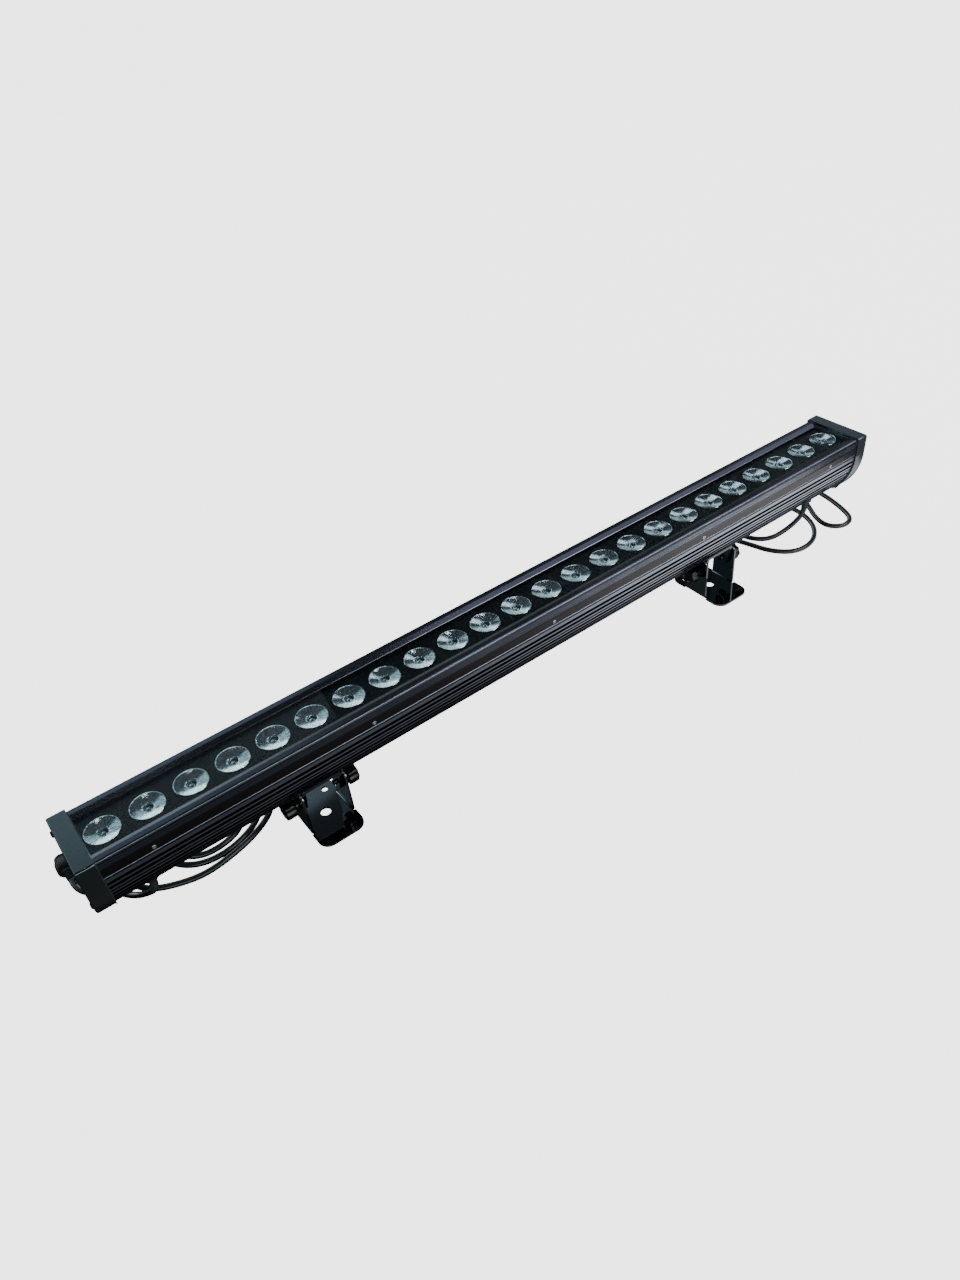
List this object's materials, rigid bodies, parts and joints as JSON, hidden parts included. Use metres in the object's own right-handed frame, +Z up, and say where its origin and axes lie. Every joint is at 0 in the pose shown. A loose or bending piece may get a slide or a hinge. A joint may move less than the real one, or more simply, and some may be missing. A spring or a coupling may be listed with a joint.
{
  "type": "linear floodlight",
  "caption": "Linear floodlight with a finned bar, a row of lenses under a flat glass, end caps, two swinging foot brackets held by hand knobs, and cords that end in round plugs.",
  "frame": {"origin": "middle of the light on the surface that both feet stand on, cords left out", "axes": "+X along the bar towards its right end, +Y to its rear, +Z up, the way the light shines"},
  "size_m": [1.0563, 0.1916, 0.135],
  "materials": {
    "black_anodised": "satin black anodised aluminium",
    "cap_black": "satin black coat on die-cast metal",
    "clear_glass": "clear toughened glass",
    "rubber_black": "matt black rubber",
    "mask_black": "matt black sheet",
    "clear_lens": "clear moulded lens",
    "board_white": "white solder mask",
    "led_yellow": "phosphor under clear gel",
    "driver_alloy": "plain folded sheet",
    "screw_steel": "plain steel",
    "screw_black": "blackened steel",
    "bracket_black": "gloss black coated steel",
    "knob_metal": "gloss black coat with bright worn facets",
    "gland_black": "black nylon",
    "cord_black": "black cable jacket",
    "plug_black": "black moulded plug"
  },
  "bodies": {
    "housing": {"housing_extrusion": "black_anodised", "front_cover_rail": "black_anodised", "rear_cover_rail": "black_anodised", "side_screws": "screw_steel", "cover_glass": "clear_glass", "glass_seals": "rubber_black", "mask_plate": "mask_black", "lenses": "clear_lens", "led_board_1": "board_white", "led_board_2": "board_white", "led_board_3": "board_white", "led_board_4": "board_white", "led_packages": "led_yellow", "driver_case": "driver_alloy", "driver_lid": "driver_alloy", "left_end_cap": "cap_black", "right_end_cap": "cap_black", "cap_gaskets": "rubber_black", "cap_screws": "screw_black", "gland_bodies": "gland_black", "gland_nuts": "gland_black", "gland_seals": "rubber_black", "lug_brackets": "bracket_black", "lug_screws": "screw_black", "cords": "cord_black", "cord_plugs": "plug_black", "plug_rings": "plug_black"},
    "left_foot": {"left_foot_bracket": "bracket_black"},
    "left_outer_clamp": {"left_outer_knob": "knob_metal"},
    "left_inner_clamp": {"left_inner_knob": "knob_metal"},
    "right_foot": {"right_foot_bracket": "bracket_black"},
    "right_outer_clamp": {"right_outer_knob": "knob_metal"},
    "right_inner_clamp": {"right_inner_knob": "knob_metal"}
  },
  "joints": [
    {"name": "left_foot_tilt", "type": "hinge", "parent": "housing", "child": "left_foot", "pos_m": [-0.2755, 0, 0.034], "axis": [1, 0, 0], "range_deg": [-90, 90]},
    {"name": "right_foot_tilt", "type": "hinge", "parent": "housing", "child": "right_foot", "pos_m": [0.2755, 0, 0.034], "axis": [1, 0, 0], "range_deg": [-90, 90]},
    {"name": "left_outer_clamp_turn", "type": "hinge", "parent": "housing", "child": "left_outer_clamp", "pos_m": [-0.3005, 0, 0.034], "axis": [-1, 0, 0], "range_deg": [0, 360]},
    {"name": "left_inner_clamp_turn", "type": "hinge", "parent": "housing", "child": "left_inner_clamp", "pos_m": [-0.2505, 0, 0.034], "axis": [1, 0, 0], "range_deg": [0, 360]},
    {"name": "right_outer_clamp_turn", "type": "hinge", "parent": "housing", "child": "right_outer_clamp", "pos_m": [0.3005, 0, 0.034], "axis": [1, 0, 0], "range_deg": [0, 360]},
    {"name": "right_inner_clamp_turn", "type": "hinge", "parent": "housing", "child": "right_inner_clamp", "pos_m": [0.2505, 0, 0.034], "axis": [-1, 0, 0], "range_deg": [0, 360]}
  ]
}
